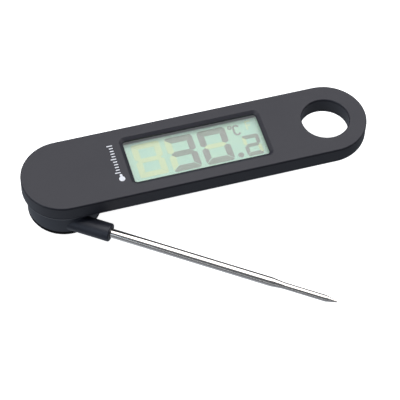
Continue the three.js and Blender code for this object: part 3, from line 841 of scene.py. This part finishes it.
def sleeve():
    """A round bar beside the hinge axis that flares where it leaves the disc."""
    flare = 1.0
    end_round = 0.7
    steps = 64
    turns = [2 * math.pi * i / steps for i in range(steps)]

    def wall_distance(y):
        return math.sqrt(max(HUB_RADIUS**2 - y**2, 0))

    def flared(share):
        """A loop of the flare: share 0 is on the wall of the disc and 1 is clear of it."""
        points = []
        for t in turns:
            squareness = wall_distance(-PROBE_OFFSET + SLEEVE_RADIUS * math.cos(t)) / HUB_RADIUS
            reach = flare * squareness**2
            radius = SLEEVE_RADIUS + reach * (1 - math.sin(share * math.pi / 2))
            y = -PROBE_OFFSET + radius * math.cos(t)
            away = reach * (1 - math.cos(share * math.pi / 2)) - 0.12 * (1 - share)
            points.append((wall_distance(y) + away, y, PROBE_HEIGHT + radius * math.sin(t)))
        return points

    solid = Solid()
    loops = [solid.loop(along_probe(SLEEVE_RADIUS - 0.6, t, 2.0) for t in turns)]
    loops += [solid.loop(flared(i / 6)) for i in range(7)]
    end = arc(SLEEVE_RADIUS - end_round, SLEEVE_END - end_round, end_round, 0, 90, 6)
    loops += [solid.loop(along_probe(r, t, distance) for t in turns) for r, distance in end]
    solid.wall(*loops)
    solid.fill(loops[0])
    solid.fill(loops[-1])
    return solid.mesh("sleeve")


def foot_ring():
    """A near-black band round the foot of the disc, flush with its wall: painted shade along the disc's
    lower edge.
    """
    core = HUB_RADIUS - FOOT_THICKNESS
    profile = [(CAP_RADIUS + 0.35, 0.1), (CAP_RADIUS + 0.45, 0)]
    profile += arc(HUB_RADIUS - HUB_BOTTOM_ROUND, HUB_BOTTOM_ROUND, HUB_BOTTOM_ROUND, -90, 0, 9)
    profile += [(HUB_RADIUS, FOOT_TOP - 0.15), (HUB_RADIUS - 0.1, FOOT_TOP - 0.05), (core, FOOT_TOP - 0.05)]
    profile += [(core, 1.2), (core - 1, FOOT_THICKNESS), (CAP_RADIUS + 0.35, FOOT_THICKNESS)]
    return swung(ring(profile, 128).mesh("foot_ring"))


def hub_cap():
    """The flat cap pressed into the foot of the hub, with two fine rings moulded in its face."""
    r = CAP_RADIUS
    profile = [(0, 0.12), (1.3, 0.12), (1.5, 0)]
    for groove in (5.5, 11.0):
        profile += [(groove, 0), (groove + 0.15, 0.15), (groove + 0.35, 0.15), (groove + 0.5, 0)]
    profile += [(r - 0.25, 0), (r, 0.25), (r, 1.5)]
    profile += [(12.6, 1.5), (12.6, 2.8), (11.4, 2.8), (11.4, 1.5), (0, 1.5)]
    return swung(turned(profile, 128).mesh("hub_cap"))


def probe_tube():
    """The steel tube, drawn down to a thin part that ends in a closed point."""
    thin = 1.44
    taper_start, taper_end = 97.1, 102.2
    cone_start, end, point = 120.5, 125.6, 0.35
    profile = [(0, cone_start + 0.5), (0.95, cone_start), (0.95, taper_end), (1.5, taper_start), (1.5, 7.3)]
    profile += [(TUBE_RADIUS - 0.1, 7), (TUBE_RADIUS, 7.1), (TUBE_RADIUS, taper_start - 0.8)]
    profile += [(TUBE_RADIUS - 0.03, taper_start + 0.3), (thin + 0.04, taper_end - 0.3)]
    profile += [(thin, taper_end + 0.8), (thin, cone_start - 0.5), (thin - 0.06, cone_start + 0.4)]
    profile += arc(0, end - point, point, 15, 75, 4) + [(0, end)]
    return swung(turned(profile, 96, along_probe).mesh("probe_tube", sharp=40))


# ---------------------------------------------------------------- small pieces in the handle's back


def battery_cover():
    """The bayonet cover, with a coin slot and two lugs."""
    rim, groove, skirt = COVER_RADIUS, 5.9, 6.0
    foot, top = UNDERSIDE, UNDERSIDE + 2.5
    profile = [(0, foot), (5.2, foot), (5.3, foot + 0.12), (5.5, foot + 0.12), (5.6, foot)]
    profile += arc(rim - 0.3, foot + 0.3, 0.3, -90, 0, 4)
    profile += [(rim, foot + 0.55), (groove, foot + 0.55), (groove, foot + 1.25), (rim, foot + 1.25)]
    profile += [(rim, top), (skirt, top), (skirt, foot + 1.55), (0, foot + 1.55)]
    body = turned(profile, 96, upright(COVER.x, COVER.y)).mesh("battery_cover")
    slot = Solid()
    loops = [
        slot.loop(rounded_rectangle(
            COVER.x - 5 - grow, COVER.x + 5 + grow, -0.8 - grow, 0.8 + grow, 0.78 + grow, z,
        ))
        for grow, z in ((0.2, foot - 0.05), (0, foot + 0.17), (-0.05, foot + 0.8))
    ]
    slot.wall(*loops)
    slot.fill(loops[0])
    slot.fill(loops[-1])
    lugs = [lug(side).mesh("lug") for side in (-1, 1)]
    return carve(carve(body, lugs, "UNION"), [slot.mesh("slot")])


def cover_marks():
    """A dot where the coin slot points when the cover is locked, and a ring where it is free."""
    reach, size = 9.8, 0.8
    locked = math.pi
    free = locked - COVER_TURN
    dot = disc(COVER.x + reach * math.cos(locked), reach * math.sin(locked), size)
    hoop = stroke(arc(COVER.x + reach * math.cos(free), reach * math.sin(free), size, 2, 358, 20), 0.45)
    return film("cover_marks", [dot, hoop], UNDERSIDE - 0.2, 0.25)


def lug(side):
    """A short stretch of ring that stands out of the cover under the shell's floor."""
    half_angle = math.radians(14)
    turns = [side * math.pi / 2 - half_angle + 2 * half_angle * i / 8 for i in range(9)]
    solid = Solid()
    loops = []
    for z in (UNDERSIDE + 1.75, UNDERSIDE + 2.5):
        far = [(COVER.x + 7.6 * math.cos(t), 7.6 * math.sin(t), z) for t in turns]
        near = [(COVER.x + 6.2 * math.cos(t), 6.2 * math.sin(t), z) for t in reversed(turns)]
        loops.append(solid.loop(far + near))
    solid.wall(*loops)
    solid.fill(loops[0])
    solid.fill(loops[1])
    return solid


def unit_button():
    """A rubber key with a dished face."""
    radius, flange = 2.5, 3.5
    foot = lowest("unit_button").z
    collar = FLOOR_TOP + 0.1
    profile = [(0, foot + 0.22), (0.8, foot + 0.19), (1.5, foot + 0.09), (1.9, foot + 0.02)]
    profile += arc(radius - 0.3, foot + 0.3, 0.3, -80, 0, 5)
    profile += [(radius, collar), (flange, collar), (flange, collar + 0.25), (0, collar + 0.25)]
    return turned(profile, 64, upright(BUTTON.x, BUTTON.y)).mesh("unit_button")


def case_screw():
    """A cross-head screw that stands head down with its seat at height 0."""
    head, height, shank, length = 1.9, 1.3, 1.0, 4.8
    profile = [(0, -height), (head * 0.55, -height)]
    profile += arc(head - 0.45, 0.5 - height, 0.45, -70, 0, 5)
    profile += [(head, 0), (shank, 0)]
    pitch = 0.8
    for turn in range(5):
        z = 0.4 + turn * pitch
        profile += [(shank - 0.22, z), (shank, z + pitch / 2)]
    profile += [(shank - 0.3, length - 0.35), (0, length)]
    blank = turned(profile, 48).mesh("case_screw")

    def cross(reach, width, z):
        arm = [(reach, -width), (reach, width), (width, width)]
        points = []
        for quarter in range(4):
            c, s = round(math.cos(quarter * math.pi / 2)), round(math.sin(quarter * math.pi / 2))
            points += [(c * x - s * y, s * x + c * y, z) for x, y in arm]
        return points

    recess = Solid()
    mouth = recess.loop(cross(1.2, 0.27, -height - 0.1))
    foot = recess.loop(cross(0.62, 0.2, -height + 0.85))
    recess.wall(mouth, foot)
    recess.fill(mouth)
    recess.fill(foot)
    return carve(blank, [recess.mesh("recess")])


# ---------------------------------------------------------------- camera, light and floor


def add_camera():
    """Looks down on the display from the near side, a little turned and tilted."""
    azimuth, elevation, roll = (math.radians(angle) for angle in (-18.13, 53.77, 2.3))
    aim = Vector((52.12, -27.9, 21.94)) * MM
    distance = 717.8 * MM
    back = Vector((
        math.sin(azimuth) * math.cos(elevation),
        -math.cos(azimuth) * math.cos(elevation),
        math.sin(elevation),
    ))
    level = Vector((math.cos(azimuth), math.sin(azimuth), 0))
    right = math.cos(roll) * level + math.sin(roll) * back.cross(level)
    up = back.cross(right)
    camera = bpy.data.objects.new("camera", bpy.data.cameras.new("camera"))
    camera.data.sensor_width = 36
    camera.data.lens = 154.45
    camera.data.clip_start = 0.01
    turn = Matrix((right, up, back)).transposed().to_4x4()
    camera.matrix_world = Matrix.Translation(aim + back * distance) @ turn
    bpy.context.scene.collection.objects.link(camera)
    bpy.context.scene.camera = camera


def softbox(name, place, target, width, height, radiance, colour):
    """A soft rectangular light that shines radiance from each point of its face."""
    light = bpy.data.lights.new(name, "AREA")
    light.shape = "RECTANGLE"
    light.size = width
    light.size_y = height
    light.energy = radiance * math.pi * width * height
    light.color = colour
    lamp = bpy.data.objects.new(name, light)
    lamp.location = place
    lamp.rotation_mode = "QUATERNION"
    lamp.rotation_quaternion = (Vector(target) - Vector(place)).to_track_quat("-Z", "Y")
    lamp.visible_camera = False
    bpy.context.scene.collection.objects.link(lamp)


def surroundings():
    """A dim studio that grows lighter towards the floor, most of all below on the hinge side."""
    world = bpy.data.worlds.new("studio")
    world.use_nodes = True
    tree = world.node_tree
    direction = tree.nodes.new("ShaderNodeTexCoord").outputs["Generated"]
    rise = tree.nodes.new("ShaderNodeVectorMath")
    rise.operation = "DOT_PRODUCT"
    rise.inputs[1].default_value = (0.25, 0, 0.97)
    tree.links.new(direction, rise.inputs[0])
    height = tree.nodes.new("ShaderNodeMapRange")
    height.inputs["From Min"].default_value = -1
    tree.links.new(rise.outputs["Value"], height.inputs["Value"])
    ramp = tree.nodes.new("ShaderNodeValToRGB")
    stops = ramp.color_ramp.elements
    stops.remove(stops[-1])
    for z, level in ((-1, 0.6), (-0.87, 0.5), (-0.735, 0.37), (-0.5, 0.22), (0.1, 0.16), (1, 0.14)):
        stop = stops[0] if z == -1 else stops.new((z + 1) / 2)
        stop.color = (level * 0.83, level * 0.91, level * 1.03, 1)
    tree.links.new(height.outputs["Result"], ramp.inputs["Fac"])
    tree.links.new(ramp.outputs["Color"], tree.nodes["Background"].inputs["Color"])
    return world


def add_lights():
    softbox("overhead", (0.27, 0.43, 1.0), (0.27, 0.43, 0), 2.4, 1.26, 2.26, (0.985, 0.98, 1))
    softbox("near_strip", (-0.95, -1.4, 0.35), (0.08, -0.06, 0), 2.4, 0.13, 1.2, (0.9, 0.95, 1))
    softbox("left_fill", (-1.3, -0.5, 0.5), (0, 0, 0), 1.0, 0.5, 2.3, (0.66, 0.8, 1))
    bpy.context.scene.world = surroundings()
    bpy.context.scene.view_settings.view_transform = "Standard"


def add_floor():
    """A plain white floor, seen by the camera and left out of the object's reflections."""
    bm = bmesh.new()
    bmesh.ops.create_grid(bm, x_segments=1, y_segments=1, size=4)
    mesh = bpy.data.meshes.new("floor")
    bm.to_mesh(mesh)
    bm.free()
    floor = bpy.data.objects.new("floor", mesh)
    floor.location.z = -0.02 * MM
    floor.visible_diffuse = False
    floor.visible_glossy = False
    bpy.context.scene.collection.objects.link(floor)
    material = bpy.data.materials.new("floor_white")
    material.use_nodes = True
    shader = material.node_tree.nodes["Principled BSDF"]
    shader.inputs["Base Color"].default_value = (0.6, 0.6, 0.6, 1)
    shader.inputs["Roughness"].default_value = 0.9
    shader.inputs["Specular IOR Level"].default_value = 0
    shader.inputs["Emission Color"].default_value = (1, 1, 1, 1)
    shader.inputs["Emission Strength"].default_value = 0.98
    mesh.materials.append(material)


# ---------------------------------------------------------------- assembly

add_camera()
add_lights()
add_floor()

piece("handle_front", front_shell(), "handle", "soft_touch_black", ["front_shell"])
piece("handle_back", back_shell(), "handle", "soft_touch_black", ["back_shell"])
piece("window_lens", window_lens(), "handle", "clear_lens", ["display_lens"])
piece("lcd_cell", display_cell(), "handle", "lcd_mint", ["lcd_glass"])

shown_segments, idle_segments, level_segments = display_segments()
idle_film = segment_film("lcd_idle", (0.475, 0.527, 0.338), 0.03)
# Painted shadow: lcd_shade is the segments' shadow on the reflector, laid over the level segments 0.4 mm
# towards the near side.
shade_film = segment_film("lcd_shade", (0.232, 0.252, 0.215), 0.03)
shown_film = segment_film("lcd_shown", (0.24, 0.236, 0.216), 0.05)
# Painted shade: a grey band along the display's far edge, standing in for the shadow under the window's far
# lip.
far_edge_shade_film = segment_film("lcd_far_edge_shade", (0.35, 0.345, 0.36), 0.04)
# Painted shadow: a near-black band beyond it, standing in for the shaded wall of the window's far lip.
far_edge_shadow_film = segment_film("lcd_far_edge_shadow", (0.03, 0.03, 0.033), 0.1)
for name, outlines, layer, film_material, rounding in (
    ("lcd_idle_segments", idle_segments, 0, idle_film, SEGMENT_CORNER),
    ("lcd_shown_segments", shown_segments, 1, shown_film, SEGMENT_CORNER),
    ("lcd_segment_shade", moved(level_segments, 0, -0.4), 2, shade_film, SEGMENT_CORNER),
    ("lcd_point_and_unit", point_and_unit(), 1, shown_film, 0),
    ("lcd_far_edge_shade", [rectangle(28, 89.4, 11.8, 12.95)], 0, far_edge_shade_film, 0),
    ("lcd_far_edge_shadow", [rectangle(28, 89.4, 12.97, 13.3)], 0, far_edge_shadow_film, 0),
):
    mesh = film(name, outlines, GLASS_TOP + layer * FILM_STEP, FILM_THICKNESS, rounding)
    piece(name, mesh, "handle", "lcd_mint", material=film_material)
scale_film = film("printed_scale", printed_scale(), TOP - INK - 0.01, INK + 0.01)
piece("printed_scale", scale_film, "handle", "white_plastic", material=ink())

piece("hub_and_sleeve", hub(), "probe", "hub_black", ["probe_hub"])
piece("foot_ring", foot_ring(), "probe", "black_rubber", material=foot_painted_shade())
piece("hub_cap", hub_cap(), "probe", "hub_black", ["hub_base_cap"])
piece("tube", probe_tube(), "probe", "stainless_polished", ["probe_tube"])
piece("coin_cover", battery_cover(), "battery_cover", "soft_touch_black", ["battery_cover"])
piece("cover_marks", cover_marks(), "handle", "soft_touch_black")
piece("unit_key", unit_button(), "unit_button", "black_rubber", ["unit_button"])

screw_mesh = case_screw()
for number, (node, place) in enumerate(zip(CASE_SCREWS, SCREW_PLACES), 1):
    mesh = screw_mesh.copy()
    mesh.transform(Matrix.Translation(Vector((place.x, place.y, SCREW_SEAT - 0.1)) * MM))
    piece(f"cross_head_screw_{number}", mesh, "handle", "stainless_plain", [node])

# The inner pieces keep their CAD shape, with their edges eased a little.
for part in frame["record"]["subparts"]:
    node = frame["nodes"][part["node"]]
    node.data.materials.clear()
    node.data.materials.append(MATERIALS[part["material_slot"]])
    edge = node.modifiers.new("eased_edges", "BEVEL")
    edge.width = 0.06 * MM
    edge.segments = 2
    edge.limit_method = "ANGLE"
    edge.angle_limit = math.radians(40)
